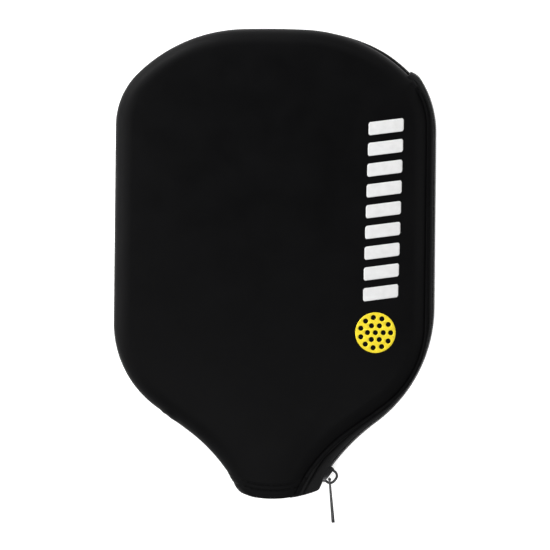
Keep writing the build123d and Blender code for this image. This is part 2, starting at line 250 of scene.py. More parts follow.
def half_outline(side):
    """The body's outline from crown to hem: points, outward normals and share of the way."""
    points, headings = walk((0.0, CROWN_Y), 0.0, BODY_MOVES, step=0.25)
    points[:, 0] *= side
    inside = within_hem(points)
    last = len(inside) if inside.all() else int(np.argmin(inside))
    points, headings = points[:last], headings[:last]
    coarse = np.linspace(0, 1 - FINE_HEM, COARSE_ROWS, endpoint=False)
    share = np.concatenate([coarse, np.linspace(1 - FINE_HEM, 1, FINE_ROWS)])
    edge, headings = resample(points, share * lengths(points)[-1], headings)
    edge[-1, 1] = hem_y(edge[-1, 0])
    return edge, outward(headings, side), share


def spine_y(share):
    """Where each row of the sheet reaches the middle line."""
    knots = (0, 0.33, 0.645, 1)
    heights = (60, 48, -72, hem_y(0.0))
    wide = np.interp(share, knots, heights)
    early = np.interp(np.clip(share - 0.06, 0, 1), knots, heights)
    late = np.interp(np.clip(share + 0.06, 0, 1), knots, heights)
    eased = (wide + early + late) / 3
    ends = smooth(share / 0.1) * smooth((1 - share) / 0.1)
    return eased * ends + wide * (1 - ends)


def round_corner(plan, distance, edge):
    """Draws the sheet's edge in along the hem's bow, so that its left corner is round."""
    from_hem = lengths(edge)[-1] - lengths(edge)
    arm = plan - HEM_BOW_CENTRE
    drawn_in = corner_inset(from_hem)[:, None] * smooth(1 - distance / CORNER_REACH)
    turn = drawn_in / np.linalg.norm(arm, axis=2)
    x = arm[:, :, 0] * np.cos(turn) - arm[:, :, 1] * np.sin(turn)
    y = arm[:, :, 0] * np.sin(turn) + arm[:, :, 1] * np.cos(turn)
    return np.dstack([x, y]) + HEM_BOW_CENTRE


def plan_of(edge, normal, share, insets, roll):
    """Plan positions of a half sheet, and how far each is from the outline."""
    near = edge[:, None, :] - normal[:, None, :] * insets[:, :, None]
    # from the rounded edge each grid row runs to the middle line on a Bezier curve
    start = edge - normal * roll
    target = np.stack([np.zeros(len(share)), spine_y(share)], axis=1)
    span = np.linalg.norm(target - start, axis=1)[:, None]
    first = start - normal * span * MIDDLE_PULL
    second = target + (start - target) * MIDDLE_PULL
    t = (np.linspace(0, 1, ACROSS_STEPS)[1:] ** 1.15)[None, :, None]
    far = ((1 - t) ** 3 * start[:, None] + 3 * (1 - t) ** 2 * t * first[:, None]
           + 3 * (1 - t) * t**2 * second[:, None] + t**3 * target[:, None])
    plan = np.concatenate([near, far], axis=1)
    steps = np.linalg.norm(np.diff(far, axis=1, prepend=start[:, None]), axis=2)
    distance = np.concatenate([insets, roll + np.cumsum(steps, axis=1)], axis=1)
    # the last rows turn until the very last lies on the hem's bow
    shift = hem_y(plan[-1, :, 0]) - plan[-1, :, 1]
    from_hem = (1 - share) * lengths(edge)[-1]
    near_hem = smooth((HEM_EASE - from_hem) / (HEM_EASE - 4))
    plan[:, :, 1] += near_hem[:, None] * shift[None, :]
    if edge[0, 0] > edge[-1, 0]:
        plan = round_corner(plan, distance, edge)
    return plan, distance


def edge_height(edge, side, closed, open_height):
    """Height of a sheet's edge: at the seam, or clear of it beside the zip."""
    if side < 0:
        return np.full(len(edge), closed)
    open_part = smooth((past_fold(edge[:, 0], edge[:, 1]) + 0.5) / 3.0)
    return closed + (open_height - closed) * open_part


def front_half(side):
    """Outer surface of half of the front sheet."""
    edge, normal, share = half_outline(side)
    phi = np.radians(np.linspace(0, 90, FRONT_STEPS))
    rise = np.sin(phi) ** FRONT_RISE
    low = edge_height(edge, side, SEAM_Z + SEAM_HALF_GAP, SEAM_Z + ZIP_HALF_GAP)
    inset = FRONT_ROLL * (1 - np.cos(phi) ** ROLL_SHAPE)
    lip = LIP * np.exp(-rise * LIP_FADE)
    slack = np.zeros(len(edge))
    if side > 0:
        slack = smooth((past_fold(edge[:, 0], edge[:, 1]) - 1) / SLACK_REACH)
    slack = slack[:, None]
    across = 1 - np.cos(phi)
    insets = (inset + lip) * (1 - slack) + (FRONT_ROLL * across + lip / 2) * slack
    rise = rise * (1 - slack) + (1 - (1 - across) ** 2) * slack
    plan, distance = plan_of(edge, normal, share, insets, FRONT_ROLL)
    x, y = plan[:, :, 0], plan[:, :, 1]
    top = THICKNESS - DOME_RISE * (x / ZIP_SIDE[0]) ** 2
    off_centre = 1 - np.exp(-((x / CENTRE_RIDGE) ** 2)) * smooth((DOME_TOP_Y - y) / 60)
    top -= SHOULDER_DROP * np.exp(-distance / SHOULDER_REACH) * off_centre
    top -= LENGTH_DOME * ((y - DOME_TOP_Y) / 100) ** 2
    rises = np.ones(plan.shape[:2])
    rises[:, : len(phi)] = rise
    z = low[:, None] + (top - low[:, None]) * rises
    if side > 0:
        beside_zip = smooth(past_fold(edge[:, 0], edge[:, 1]) / 8)[:, None]
        along = lengths(edge)[:, None]
        pucker = np.sin(along / 9.0 * 2 * pi) + 0.6 * np.sin(along / 5.7 * 2 * pi + 1)
        z += PUCKER_DEPTH * pucker * beside_zip * np.exp(-distance / PUCKER_REACH) * rises
    z += unevenness(x, y) * rises
    return np.dstack([plan, z])


def unevenness(x, y):
    """Broad soft waves in the padding, with smaller ones on them."""
    heights = []
    for a, b in zip(x.ravel(), y.ravel()):
        broad = noise.noise(Vector((a / 42, b / 42, 0.3)))
        small = noise.noise(Vector((a / 15, b / 15, 4.1)))
        heights.append(broad + 0.4 * small)
    return SURFACE_NOISE * np.array(heights).reshape(x.shape)


def back_half(side):
    """Outer surface of half of the back sheet, flat where it lies."""
    edge, normal, share = half_outline(side)
    phi = np.radians(np.linspace(0, 90, BACK_STEPS))
    rise = np.sin(phi) ** BACK_RISE
    low = edge_height(edge, side, SEAM_Z - SEAM_HALF_GAP, SEAM_Z - ZIP_HALF_GAP)
    inset = BACK_ROLL * (1 - np.cos(phi) ** ROLL_SHAPE)
    lip = LIP * np.exp(-rise * LIP_FADE)
    closed = np.ones(len(edge))
    if side > 0:
        closed -= smooth((past_fold(edge[:, 0], edge[:, 1]) + 1.5) / 3.0)
    peek = BACK_PEEK * closed
    if side > 0:
        peek += BACK_PEEK_TOP * closed * smooth((edge[:, 0] - PEEK_START_X) / PEEK_REACH)
    bulge = np.sin(np.clip(rise / 0.5, 0, 1) * pi / 2) * np.cos(phi) ** 0.6
    insets = (inset + lip)[None] - peek[:, None] * bulge[None]
    plan, _ = plan_of(edge, normal, share, insets, BACK_ROLL)
    rises = np.ones(plan.shape[:2])
    rises[:, : len(rise)] = rise[None]
    z = low[:, None] * (1 - rises)
    return np.dstack([plan, z])


# ---- meshes ----
def mesh_object(name, points, faces, uvs=None):
    """A smooth mesh from points in millimetres."""
    mesh = bpy.data.meshes.new(name)
    mesh.from_pydata((np.asarray(points) * MM).tolist(), [], faces)
    if uvs is not None:
        layer = mesh.uv_layers.new(name="weave")
        corners = np.zeros(len(mesh.loops), int)
        mesh.loops.foreach_get("vertex_index", corners)
        layer.data.foreach_set("uv", np.asarray(uvs)[corners].astype(np.float32).ravel())
    mesh.polygons.foreach_set("use_smooth", [True] * len(mesh.polygons))
    mesh.update()
    piece = bpy.data.objects.new(name, mesh)
    bpy.context.scene.collection.objects.link(piece)
    return piece


def grid_faces(rows, columns, offset=0, flip=False, closed=False):
    """Four-sided faces of a grid of points; closed joins its last column to its first."""
    faces = []
    wrap = columns if closed else columns - 1
    for i in range(rows - 1):
        for j in range(wrap):
            k = (j + 1) % columns
            face = [offset + i * columns + j, offset + i * columns + k,
                    offset + (i + 1) * columns + k, offset + (i + 1) * columns + j]
            faces.append(face[::-1] if flip else face)
    return faces


def sheet_mesh(name, right_half, left_half, flip):
    """Both halves of a sheet as one mesh, joined along the middle line."""
    rows, columns = right_half.shape[:2]
    points = np.concatenate([right_half.reshape(-1, 3), left_half.reshape(-1, 3)])
    faces = grid_faces(rows, columns, 0, flip)
    faces += grid_faces(rows, columns, rows * columns, not flip)
    piece = mesh_object(name, points, faces)
    bm = bmesh.new()
    bm.from_mesh(piece.data)
    bmesh.ops.remove_doubles(bm, verts=bm.verts, dist=2e-5)
    bmesh.ops.dissolve_degenerate(bm, edges=bm.edges, dist=1e-6)
    bm.to_mesh(piece.data)
    bm.free()
    return piece


def apply_modifiers(piece):
    """The piece's final mesh, with its modifiers applied."""
    graph = bpy.context.evaluated_depsgraph_get()
    mesh = bpy.data.meshes.new_from_object(piece.evaluated_get(graph))
    piece.modifiers.clear()
    piece.data = mesh
    mesh.polygons.foreach_set("use_smooth", [True] * len(mesh.polygons))
    return piece


def vertex_array(piece):
    """Points in millimetres, and normals."""
    count = len(piece.data.vertices)
    points, normals = np.zeros(count * 3), np.zeros(count * 3)
    piece.data.vertices.foreach_get("co", points)
    piece.data.vertices.foreach_get("normal", normals)
    return points.reshape(-1, 3) / MM, normals.reshape(-1, 3)


def set_vertices(piece, points):
    piece.data.vertices.foreach_set("co", (points * MM).astype(np.float32).ravel())
    piece.data.update()


def hem_fold(piece):
    """Raises the folded hem band and sinks it a little under each row of stitches."""
    points, normals = vertex_array(piece)
    from_bow = from_bow_centre(points)
    near = points[:, 1] < HEM_ZONE_Y
    proud = HEM_BAND_PROUD * smooth((from_bow - HEM_BAND_RADIUS + 0.35) / 0.7)
    proud -= HEM_BAND_PROUD * 0.7 * smooth((from_bow - HEM_BOW_RADIUS + 1.2) / 1.2)
    for radius in HEM_STITCH_RADII:
        proud -= STITCH_SINK * np.exp(-(((from_bow - radius) / 0.55) ** 2))
    set_vertices(piece, points + normals * (proud * near)[:, None])


def thickened(piece, thickness):
    """Gives a sheet its wall, inwards from its outer surface."""
    solidify = piece.modifiers.new("wall", "SOLIDIFY")
    solidify.thickness = thickness * MM
    solidify.offset = -1
    solidify.use_even_offset = False
    return apply_modifiers(piece)


def inner_layer(name, right_half, left_half, flip):
    """The lining bonded under a panel, which stops short of the panel's turned-in lip."""
    piece = sheet_mesh(name, right_half[:, LIP_COLUMNS:], left_half[:, LIP_COLUMNS:], flip)
    points, normals = vertex_array(piece)
    set_vertices(piece, points - normals * (NEOPRENE + 0.05))
    return thickened(piece, LINING - 0.1)


def tube_points(path, reference, radius, sides):
    """Rings round a path; reference is any direction that is nowhere along it."""
    path, reference = np.asarray(path, float), np.asarray(reference, float)
    along = np.gradient(path, axis=0)
    along /= np.linalg.norm(along, axis=1)[:, None]
    across = np.cross(along, reference)
    across /= np.linalg.norm(across, axis=1)[:, None]
    other = np.cross(across, along)
    turn = np.arange(sides) * 2 * pi / sides
    ring = np.cos(turn)[None, :, None] * across[:, None] + np.sin(turn)[None, :, None] * other[:, None]
    return path[:, None] + radius * ring


def tubes_object(name, rings):
    """One mesh of closed tubes, each a stack of rings."""
    points, faces, offset = [], [], 0
    for ring in rings:
        rows, sides = ring.shape[:2]
        points.append(ring.reshape(-1, 3))
        faces += grid_faces(rows, sides, offset, closed=True)
        faces.append([offset + k for k in range(sides)])
        faces.append([offset + (rows - 1) * sides + k for k in reversed(range(sides))])
        offset += rows * sides
    return mesh_object(name, np.concatenate(points), faces)


def stitches(name, rows, sunk=0.0):
    """Thread stitches along rows of surface points with their normals."""
    rings = []
    # one stitch: it comes up out of the sheet, lies on it and goes down again
    lifts = np.array([-0.35, 0.02, 0.16, 0.2, 0.16, 0.02, -0.35]) - sunk
    reach = np.array([-1.28, -1.12, -0.6, 0, 0.6, 1.12, 1.28])
    for points, normals in rows:
        along = lengths(points)
        count = int(along[-1] / STITCH_PITCH)
        for k in range(count):
            places = (k + 0.5) * along[-1] / count + reach
            spots = np.stack([np.interp(places, along, c) for c in points.T], axis=1)
            ups = np.stack([np.interp(places, along, c) for c in normals.T], axis=1)
            ups /= np.linalg.norm(ups, axis=1)[:, None]
            rings.append(tube_points(spots + ups * lifts[:, None], ups, STITCH_WIRE, 6))
    return tubes_object(name, rings)


# ---- the pieces ----
def zip_line():
    """The closed coils' outermost line, from the zip's top end to the hem: points and outward normals."""
    up, up_heading = walk(ZIP_SIDE, 90.0, ZIP_UP, step=0.5)
    down, down_heading = walk(ZIP_SIDE, -90.0, ZIP_DOWN, step=0.5)
    points = np.concatenate([up[::-1], down[1:]])
    headings = np.concatenate([up_heading[::-1] - 180, down_heading[1:]])
    keep = (past_fold(points[:, 0], points[:, 1]) > ZIP_TUCK) & within_hem(points)
    return points[keep], outward(headings[keep])


def tucked_line(points, from_end):
    """The line a little way in from the body's outline beside each point, and the gap to the outline."""
    outline, headings = walk((0.0, CROWN_Y), 0.0, BODY_MOVES, step=0.5)
    outline, headings = outline[within_hem(outline)], headings[within_hem(outline)]
    inner = outline - outward(headings) * TAPE_TUCK
    near = np.array([np.argmin(np.hypot(*(outline - p).T)) for p in points])
    near = near + (len(outline) - 1 - near[-1]) * smooth(1 - from_end / NECK_REACH)
    near = near.round().astype(int)
    gap = np.hypot(*(outline[near] - points).T)
    found = np.column_stack([inner[near], gap])
    padded = np.pad(found, ((6, 6), (0, 0)), mode="edge")
    eased = np.stack([np.convolve(column, np.ones(13) / 13, "valid") for column in padded.T], axis=1)
    return eased[:, :2], eased[:, 2]


def tape_half(name, sign):
    """One woven tape: flat from under the panel's edge, then turned down to the coil."""
    points, normals = zip_line()
    places = np.arange(0, lengths(points)[-1], 0.8)
    plan, nx, ny = resample(points, places, normals[:, 0], normals[:, 1])
    normal = np.stack([nx, ny], axis=1)
    from_end = places[-1] - places
    inner, gap = tucked_line(plan, from_end)
    back = COIL + 0.25
    bend = np.clip((gap - back) * 0.7, 0.5, 2.4)
    top, foot = ZIP_HALF_GAP - 0.35, 0.7
    outer = plan - normal * (back + bend)[:, None]
    width = np.linalg.norm(outer - inner, axis=1)
    sag = 0.06 * np.clip(gap - back - bend, 0.05, None)
    spots, rises = [], []
    for share in np.linspace(0, 1, 19):
        from_panel = share * width - TAPE_TUCK
        dip = np.exp(-(((from_panel - GROOVE_PLACE) / GROOVE_WIDTH) ** 2))
        groove = GROOVE_DEPTH * dip * (1 - share**3)
        spots.append(inner + (outer - inner) * share)
        rises.append(top - sag * share**2 - groove * smooth(places / 8))
    for angle in np.radians(np.linspace(15, 90, 6)):
        spots.append(plan - normal * (back + bend * (1 - sin(angle)))[:, None])
        rises.append(top - sag - bend * (1 - cos(angle)))
    for rise in ((top + foot) / 2 - bend / 4, np.full(len(gap), foot)):
        spots.append(plan - normal * back)
        rises.append(rise)
    flat, rise = np.stack(spots, axis=1), np.stack(rises, axis=1)
    flat -= normal[:, None] * (corner_inset(from_end) * 0.8)[:, None, None]
    shift = hem_y(flat[-1, :, 0]) - flat[-1, :, 1]
    flat[:, :, 1] += smooth((22 - from_end) / 20)[:, None] * shift[None]
    # nothing of the tape goes past the hem
    arm = flat - HEM_BOW_CENTRE
    reach = np.where(flat[:, :, 1] < HEM_ZONE_Y, np.linalg.norm(arm, axis=2), 1.0)
    flat = arm * np.minimum(1, HEM_BOW_RADIUS / reach)[:, :, None] + HEM_BOW_CENTRE
    grid = np.dstack([flat, SEAM_Z + sign * rise])
    across = np.cumsum(np.linalg.norm(np.diff(grid, axis=1, prepend=grid[:, :1]), axis=2), axis=1)
    uvs = np.dstack([np.repeat(places[:, None], grid.shape[1], axis=1), across])
    faces = grid_faces(*grid.shape[:2], flip=sign < 0)
    piece = mesh_object(name, grid.reshape(-1, 3), faces, uvs.reshape(-1, 2))
    return thickened(piece, TAPE)


def neck_centre():
    """Centre of the zip's bend at the neck."""
    before = ZIP_DOWN[:-2]
    radius, turn = ZIP_DOWN[-2]
    points, headings = walk(ZIP_SIDE, -90.0, before)
    to_centre = radians(headings[-1] + copysign(90, turn))
    return points[-1] + radius * np.array([cos(to_centre), sin(to_centre)])


def coil_half(name, sign):
    """One wound coil, with the cord that runs through it."""
    points, normals = zip_line()
    total = lengths(points)[-1] - COIL_ENDS[1]
    count = int(total / COIL_PITCH * COIL_STEPS)
    places = np.linspace(COIL_ENDS[0], total, count)
    plan, nx, ny = resample(points, places, normals[:, 0], normals[:, 1])
    normal = np.stack([nx, ny, np.zeros(count)], axis=1)
    angle = places / COIL_PITCH * 2 * pi + (pi if sign < 0 else 0)
    arm = plan - neck_centre()
    neck_angle = np.degrees(np.arctan2(arm[:, 1], arm[:, 0]))
    apart = COIL_OPEN * smooth((neck_angle - SLIDER_ANGLE) / 1.8) * (plan[:, 1] < HEM_ZONE_Y)
    middle = np.column_stack([plan - normal[:, :2] * COIL_INSET, SEAM_Z + sign * (COIL_RAISE + apart)])
    up = np.array([0, 0, 1.0])
    squeeze = 0.5 + 0.5 * smooth((places - 1.5) / 2.5)
    deep = COIL_DEEP * np.cos(angle) * squeeze
    tall = COIL_TALL * np.sin(angle)
    spoke = normal * deep[:, None] + up * tall[:, None]
    wire = tube_points(middle + spoke, spoke, COIL_WIRE, 6)
    core_line = middle[::COIL_STEPS]
    core = tube_points(core_line, np.repeat(up[None], len(core_line), axis=0), COIL_CORD, 6)
    return tubes_object(name, [wire, core])


def softened(node, name, width, segments=2):
    """A CAD piece with its edges rounded as a cast or pressed part's are."""
    piece = bpy.data.objects.new(name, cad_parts[node].data.copy())
    bpy.context.scene.collection.objects.link(piece)
    bm = bmesh.new()
    bm.from_mesh(piece.data)
    bmesh.ops.remove_doubles(bm, verts=bm.verts, dist=1e-6)
    bmesh.ops.dissolve_limit(bm, angle_limit=radians(1.0), verts=bm.verts, edges=bm.edges)
    bm.to_mesh(piece.data)
    bm.free()
    for attribute in [a.name for a in piece.data.attributes if a.name == "custom_normal"]:
        piece.data.attributes.remove(piece.data.attributes[attribute])
    piece.data.materials.clear()
    bevel = piece.modifiers.new("edges", "BEVEL")
    bevel.width = width * MM
    bevel.segments = segments
    bevel.limit_method = "ANGLE"
    bevel.angle_limit = radians(28)
    bevel.harden_normals = False
    apply_modifiers(piece)
    piece.data.set_sharp_from_angle(angle=radians(38))
    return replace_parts(piece, node)


def swollen(piece, heading, amount):
    """Thickens a plate evenly about its middle, along a heading in the plane of the floor."""
    points, _ = vertex_array(piece)
    across = np.array([cos(radians(heading)), sin(radians(heading)), 0.0])
    away = points @ across
    middle = (away.max() + away.min()) / 2
    set_vertices(piece, points + across * (away - middle)[:, None] * amount)


def top_stop_clip():
    """A bent metal strip that holds both coils together where the zip starts."""
    points, normals = zip_line()
    plan, nx, ny = resample(points, [CLIP_PLACE - 0.1, CLIP_PLACE + 0.1], normals[:, 0], normals[:, 1])
    along = np.array([*(plan[1] - plan[0]), 0.0])
    along /= np.linalg.norm(along)
    out = np.array([nx[0], ny[0], 0])
    up = np.array([0, 0, 1.0])
    middle = np.array([*plan[0], SEAM_Z])
    half = CLIP_HALF_HEIGHT
    path = [(-COIL - 0.6, half), (-COIL * 0.6, half)]
    for angle in np.radians(np.linspace(90, -90, 13)):
        rise = copysign(half - CLIP_BEND, sin(angle)) + CLIP_BEND * sin(angle)
        path.append((CLIP_BEND * (cos(angle) - 1), rise))
    path += [(-COIL * 0.6, -half), (-COIL - 0.6, -half)]
    line = np.array([middle + out * (x + CLIP_PROUD) + up * z for x, z in path])
    travel = np.gradient(line, axis=0)
    travel /= np.linalg.norm(travel, axis=1)[:, None]
    face = np.cross(travel, along)
    turn = np.arange(16) * 2 * pi / 16
    wide = np.sign(np.cos(turn)) * np.abs(np.cos(turn)) ** 0.45 * CLIP_HALF_WIDTH
    thick = np.sign(np.sin(turn)) * np.abs(np.sin(turn)) ** 0.6 * CLIP_HALF_THICK
    ring = line[:, None] + wide[None, :, None] * along + thick[None, :, None] * face[:, None]
    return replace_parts(tubes_object("zip_top_stop_clip", [ring]), "zip_top_stop")


def binding_ring():
    """The woven tape over the inside of the seam, round the closed side of the case."""
    depth = NEOPRENE + LINING + 0.35
    halves = []
    for side in (-1, 1):
        points, headings = walk((0.0, CROWN_Y), 0.0, BODY_MOVES, step=1.0)
        points[:, 0] *= side
        inner = points - outward(headings, side) * depth
        keep = within_hem(points) & ((past_fold(inner[:, 0], inner[:, 1]) < -3.5) | (side < 0))
        halves.append((inner[keep], outward(headings, side)[keep]))
    line = np.concatenate([halves[0][0][::-1], halves[1][0][1:]])
    normal = np.concatenate([halves[0][1][::-1], halves[1][1][1:]])
    heights = np.linspace(-BINDING_HALF, BINDING_HALF, 9)
    crown = 0.25 * (1 - (heights / BINDING_HALF) ** 2)
    plan = line[:, None] - normal[:, None] * crown[None, :, None]
    grid = np.dstack([plan, SEAM_Z + np.repeat(heights[None], len(line), axis=0)])
    along = np.repeat(lengths(line)[:, None], len(heights), axis=1)
    across = np.repeat(heights[None] + BINDING_HALF, len(line), axis=0)
    uvs = np.dstack([along, across]).reshape(-1, 2)
    faces = grid_faces(*grid.shape[:2])
    piece = mesh_object("seam_binding_woven", grid.reshape(-1, 3), faces, uvs)
    return thickened(piece, BINDING_THICK)


class Skin:
    """Looks up heights and normals on a finished sheet."""

    def __init__(self, piece):
        self.tree = BVHTree.FromObject(piece, bpy.context.evaluated_depsgraph_get())

    def under(self, x, y, from_above=True):
        sign = 1 if from_above else -1
        start = Vector((x * MM, y * MM, sign * 0.2))
        hit, normal, _, _ = self.tree.ray_cast(start, Vector((0, 0, -sign)))
        return np.array(hit) / MM, np.array(normal)


def film_patch(skin, plan_points, lift):
    """Points of a flat pattern, laid on the sheet."""
    spots = [skin.under(x, y) for x, y in plan_points]
    return np.array([p + n * lift for p, n in spots])


def bars_film(skin):
    """A column of slanted bars with rounded corners."""
    width, height = BAR_SIZE
    slope = 2 * tan(radians(BAR_SLANT))
    lean = tan(radians(BARS_LEAN))
    across, up = np.linspace(-1, 1, 32), np.linspace(-1, 1, 15)
    points, faces = [], []
    for k in range(BAR_COUNT):
        x0, y0 = BARS_TOP[0] - k * BAR_PITCH * lean, BARS_TOP[1] - k * BAR_PITCH
        patch = []
        for a in across:
            x = a * width / 2
            from_end = width / 2 - abs(x)
            into = max(BAR_CORNER - from_end, 0)
            cut = BAR_CORNER - np.sqrt(max(BAR_CORNER**2 - into**2, 0))
            for b in up:
                patch.append((x0 + x, y0 + x * slope + b * (height / 2 - cut)))
        faces += grid_faces(len(across), len(up), len(points) * len(patch), flip=True)
        points.append(film_patch(skin, patch, FILM_LIFT + FILM_THICK))
    piece = mesh_object("print_bars_film", np.concatenate(points), faces)
    return thickened(piece, FILM_THICK)


def ball_film(skin):
    """A disc with round holes, cut from one flat film and laid on the sheet."""
    curve = bpy.data.curves.new("ball_cut", "CURVE")
    curve.dimensions = "2D"
    curve.fill_mode = "BOTH"
    circles = [(0.0, 0.0, BALL_RADIUS, 72)]
    for radius, count in BALL_RINGS:
        for k in range(count):
            angle = 2 * pi * k / count
            circles.append((radius * cos(angle), radius * sin(angle), BALL_HOLE_RADIUS, 24))
    for x, y, radius, steps in circles:
        spline = curve.splines.new("POLY")
        spline.points.add(steps - 1)
        for k, point in enumerate(spline.points):
            turn = 2 * pi * k / steps
            point.co = ((x + radius * cos(turn)) * MM, (y + radius * sin(turn)) * MM, 0, 1)
        spline.use_cyclic_u = True
    cutter = bpy.data.objects.new("ball_cut", curve)
    bpy.context.scene.collection.objects.link(cutter)
    graph = bpy.context.evaluated_depsgraph_get()
    mesh = bpy.data.meshes.new_from_object(cutter.evaluated_get(graph))
    bpy.data.objects.remove(cutter)
    bm = bmesh.new()
    bm.from_mesh(mesh)
    bmesh.ops.remove_doubles(bm, verts=bm.verts, dist=1e-7)
    bmesh.ops.triangulate(bm, faces=bm.faces)
    for _ in range(2):
        long_edges = [e for e in bm.edges if e.calc_length() > BALL_EDGE * MM]
        bmesh.ops.subdivide_edges(bm, edges=long_edges, cuts=1)
        bmesh.ops.triangulate(bm, faces=bm.faces)
        bmesh.ops.dissolve_degenerate(bm, dist=0.01 * MM, edges=bm.edges)
    bm.to_mesh(mesh)
    bm.free()
    piece = bpy.data.objects.new("print_ball_film", mesh)
    bpy.context.scene.collection.objects.link(piece)
    points, _ = vertex_array(piece)
    plan = [(BALL_CENTRE[0] + x, BALL_CENTRE[1] + y) for x, y, _ in points]
    set_vertices(piece, film_patch(skin, plan, FILM_LIFT + FILM_THICK))
    mesh.update()
    if sum(p.normal.z for p in mesh.polygons) < 0:
        mesh.flip_normals()
    return thickened(piece, FILM_THICK)


def hem_rows(skin, from_above):
    """Surface points and normals of both rows of hem stitches."""
    rows = []
    for radius in HEM_STITCH_RADII:
        angles = np.radians(np.linspace(-90 - HEM_STITCH_LEFT, -90 + HEM_STITCH_SPAN, 60))
        plan = [(HEM_BOW_CENTRE[0] + radius * cos(a), HEM_BOW_CENTRE[1] + radius * sin(a)) for a in angles]
        spots = [skin.under(x, y, from_above) for x, y in plan]
        rows.append((np.array([p for p, _ in spots]), np.array([n for _, n in spots])))
    return rows


def edge_row(surface, column):
    """A row of stitches along a sheet's edge beside the zip, from its grid of points."""
    normals = np.cross(np.gradient(surface, axis=0), np.gradient(surface, axis=1))
    normals /= np.linalg.norm(normals, axis=2)[:, :, None]
    points, normals = surface[:, column], normals[:, column]
    if (normals[:, 0] * points[:, 0]).sum() < 0:
        normals = -normals
    keep = past_fold(points[:, 0], points[:, 1]) > STITCH_PITCH
    return points[keep], normals[keep]


# ---- materials ----
class Finish:
    """A procedural material under construction."""

    def __init__(self, name, base, roughness, **sockets):
        self.material = bpy.data.materials.new(name)
        self.material.use_nodes = True
        self.nodes = self.material.node_tree.nodes
        self.links = self.material.node_tree.links
        self.shader = self.nodes["Principled BSDF"]
        self.shader.inputs["Base Color"].default_value = (*base, 1)
        self.shader.inputs["Roughness"].default_value = roughness
        for socket, value in sockets.items():
            self.shader.inputs[socket.replace("_", " ")].default_value = value
        self.base = base

    def node(self, kind, settings=(), **inputs):
        node = self.nodes.new("ShaderNode" + kind)
        for key, value in dict(settings).items():
            setattr(node, key, value)
        for key, value in inputs.items():
            socket = node.inputs[int(key[1:]) if key[1:].isdigit() else key.replace("_", " ")]
            if isinstance(value, bpy.types.NodeSocket):
                self.links.new(value, socket)
            else:
                socket.default_value = value
        return node

    def math(self, operation, first, second=0.0):
        return self.node("Math", {"operation": operation}, i0=first, i1=second).outputs[0]

    def place(self):
        """Object coordinates, leaned so that a pattern also runs down the sides."""
        found = self.node("TexCoord").outputs["Object"]
        parts = self.node("SeparateXYZ", Vector=found)
        x, y, z = (parts.outputs[k] for k in "XYZ")
        lean = self.math("MULTIPLY", z, 0.7)
        return self.math("ADD", x, lean), self.math("ADD", y, lean), found

    def uv(self):
        parts = self.node("SeparateXYZ", Vector=self.node("TexCoord").outputs["UV"])
        return parts.outputs["X"], parts.outputs["Y"]

    def wave(self, value, period, phase=0.0):
        scaled = self.math("MULTIPLY", value, 2 * pi / period)
        return self.math("SINE", self.math("ADD", scaled, phase))

    def cloud(self, scale, detail=3.0, vector=None):
        inputs = {"Scale": scale, "Detail": detail}
        if vector is not None:
            inputs["Vector"] = vector
        return self.node("TexNoise", **inputs).outputs["Fac"]

    def spread(self, value, low, high, out_low, out_high):
        """The value's range from low to high, mapped to another range."""
        node = self.node("MapRange", Value=value, From_Min=low, From_Max=high,
                         To_Min=out_low, To_Max=out_high)
        return node.outputs[0]

    def colour(self, factor, low, high):
        """Base colour between two shares of the base."""
        mix = self.node("Mix", {"data_type": "RGBA"})
        self.links.new(factor, mix.inputs[0])
        for socket, share in ((mix.inputs[6], low), (mix.inputs[7], high)):
            socket.default_value = (*[c * share for c in self.base], 1)
        self.links.new(mix.outputs[2], self.shader.inputs["Base Color"])

    def rough(self, value):
        self.links.new(value, self.shader.inputs["Roughness"])

    def bump(self, height, distance, strength=1.0):
        bump = self.node("Bump", Height=height, Distance=distance, Strength=strength)
        self.links.new(bump.outputs[0], self.shader.inputs["Normal"])


def knit(name, base, roughness, wale, bump, **sockets):
    """Jersey knit: columns of small V loops, with a soft unevenness in tone."""
    finish = Finish(name, base, roughness, **sockets)
    x, y, place = finish.place()
    column = finish.wave(x, wale)
    lean = finish.math("MULTIPLY", column, 1.5)
    course = finish.wave(y, wale * 0.75, lean)
    rib = finish.math("ABSOLUTE", finish.wave(x, wale * 2, 0.4))
    loops = finish.math("ADD", finish.math("MULTIPLY", course, 0.35), rib)
    fuzz = finish.cloud(9000.0, 2.0, place)
    height = finish.math("ADD", loops, finish.math("MULTIPLY", fuzz, 0.6))
    finish.bump(height, bump)
    patches = finish.cloud(38.0, 4.0, place)
    tone = finish.math("ADD", finish.math("MULTIPLY", patches, 0.75), finish.math("MULTIPLY", loops, 0.22))
    finish.colour(tone, 0.62, 1.45)
    finish.rough(finish.spread(patches, 0.3, 0.7, roughness - 0.05, roughness + 0.06))
    return finish.material


def woven(name, base, roughness, rib, bump, **sockets):
    """Twill tape: slanted ribs across a fine weave, laid along the tape by its own coordinates."""
    finish = Finish(name, base, roughness, **sockets)
    u, v = finish.uv()
    chevron = finish.math("ABSOLUTE", finish.math("SUBTRACT", finish.math("PINGPONG", v, 1.6), 0.8))
    twill = finish.wave(finish.math("ADD", u, chevron), rib)
    threads = finish.math("MULTIPLY", finish.wave(u, rib * 0.5), finish.wave(v, rib * 0.5))
    height = finish.math("ADD", twill, finish.math("MULTIPLY", threads, 0.5))
    finish.bump(height, bump)
    tone = finish.spread(height, -1.5, 1.5, 0.0, 1.0)
    finish.colour(tone, 0.6, 1.4)
    return finish.material


def nylon(name, base):
    """Glossy moulded nylon, with fine scuffs."""
    finish = Finish(name, base, 0.3, Specular_IOR_Level=0.9)
    _, _, place = finish.place()
    scuffs = finish.cloud(900.0, 4.0, place)
    finish.rough(finish.spread(scuffs, 0.35, 0.7, 0.16, 0.34))
    finish.colour(scuffs, 0.6, 1.5)
    finish.bump(finish.cloud(6000.0, 1.0, place), 0.00001)
    return finish.material


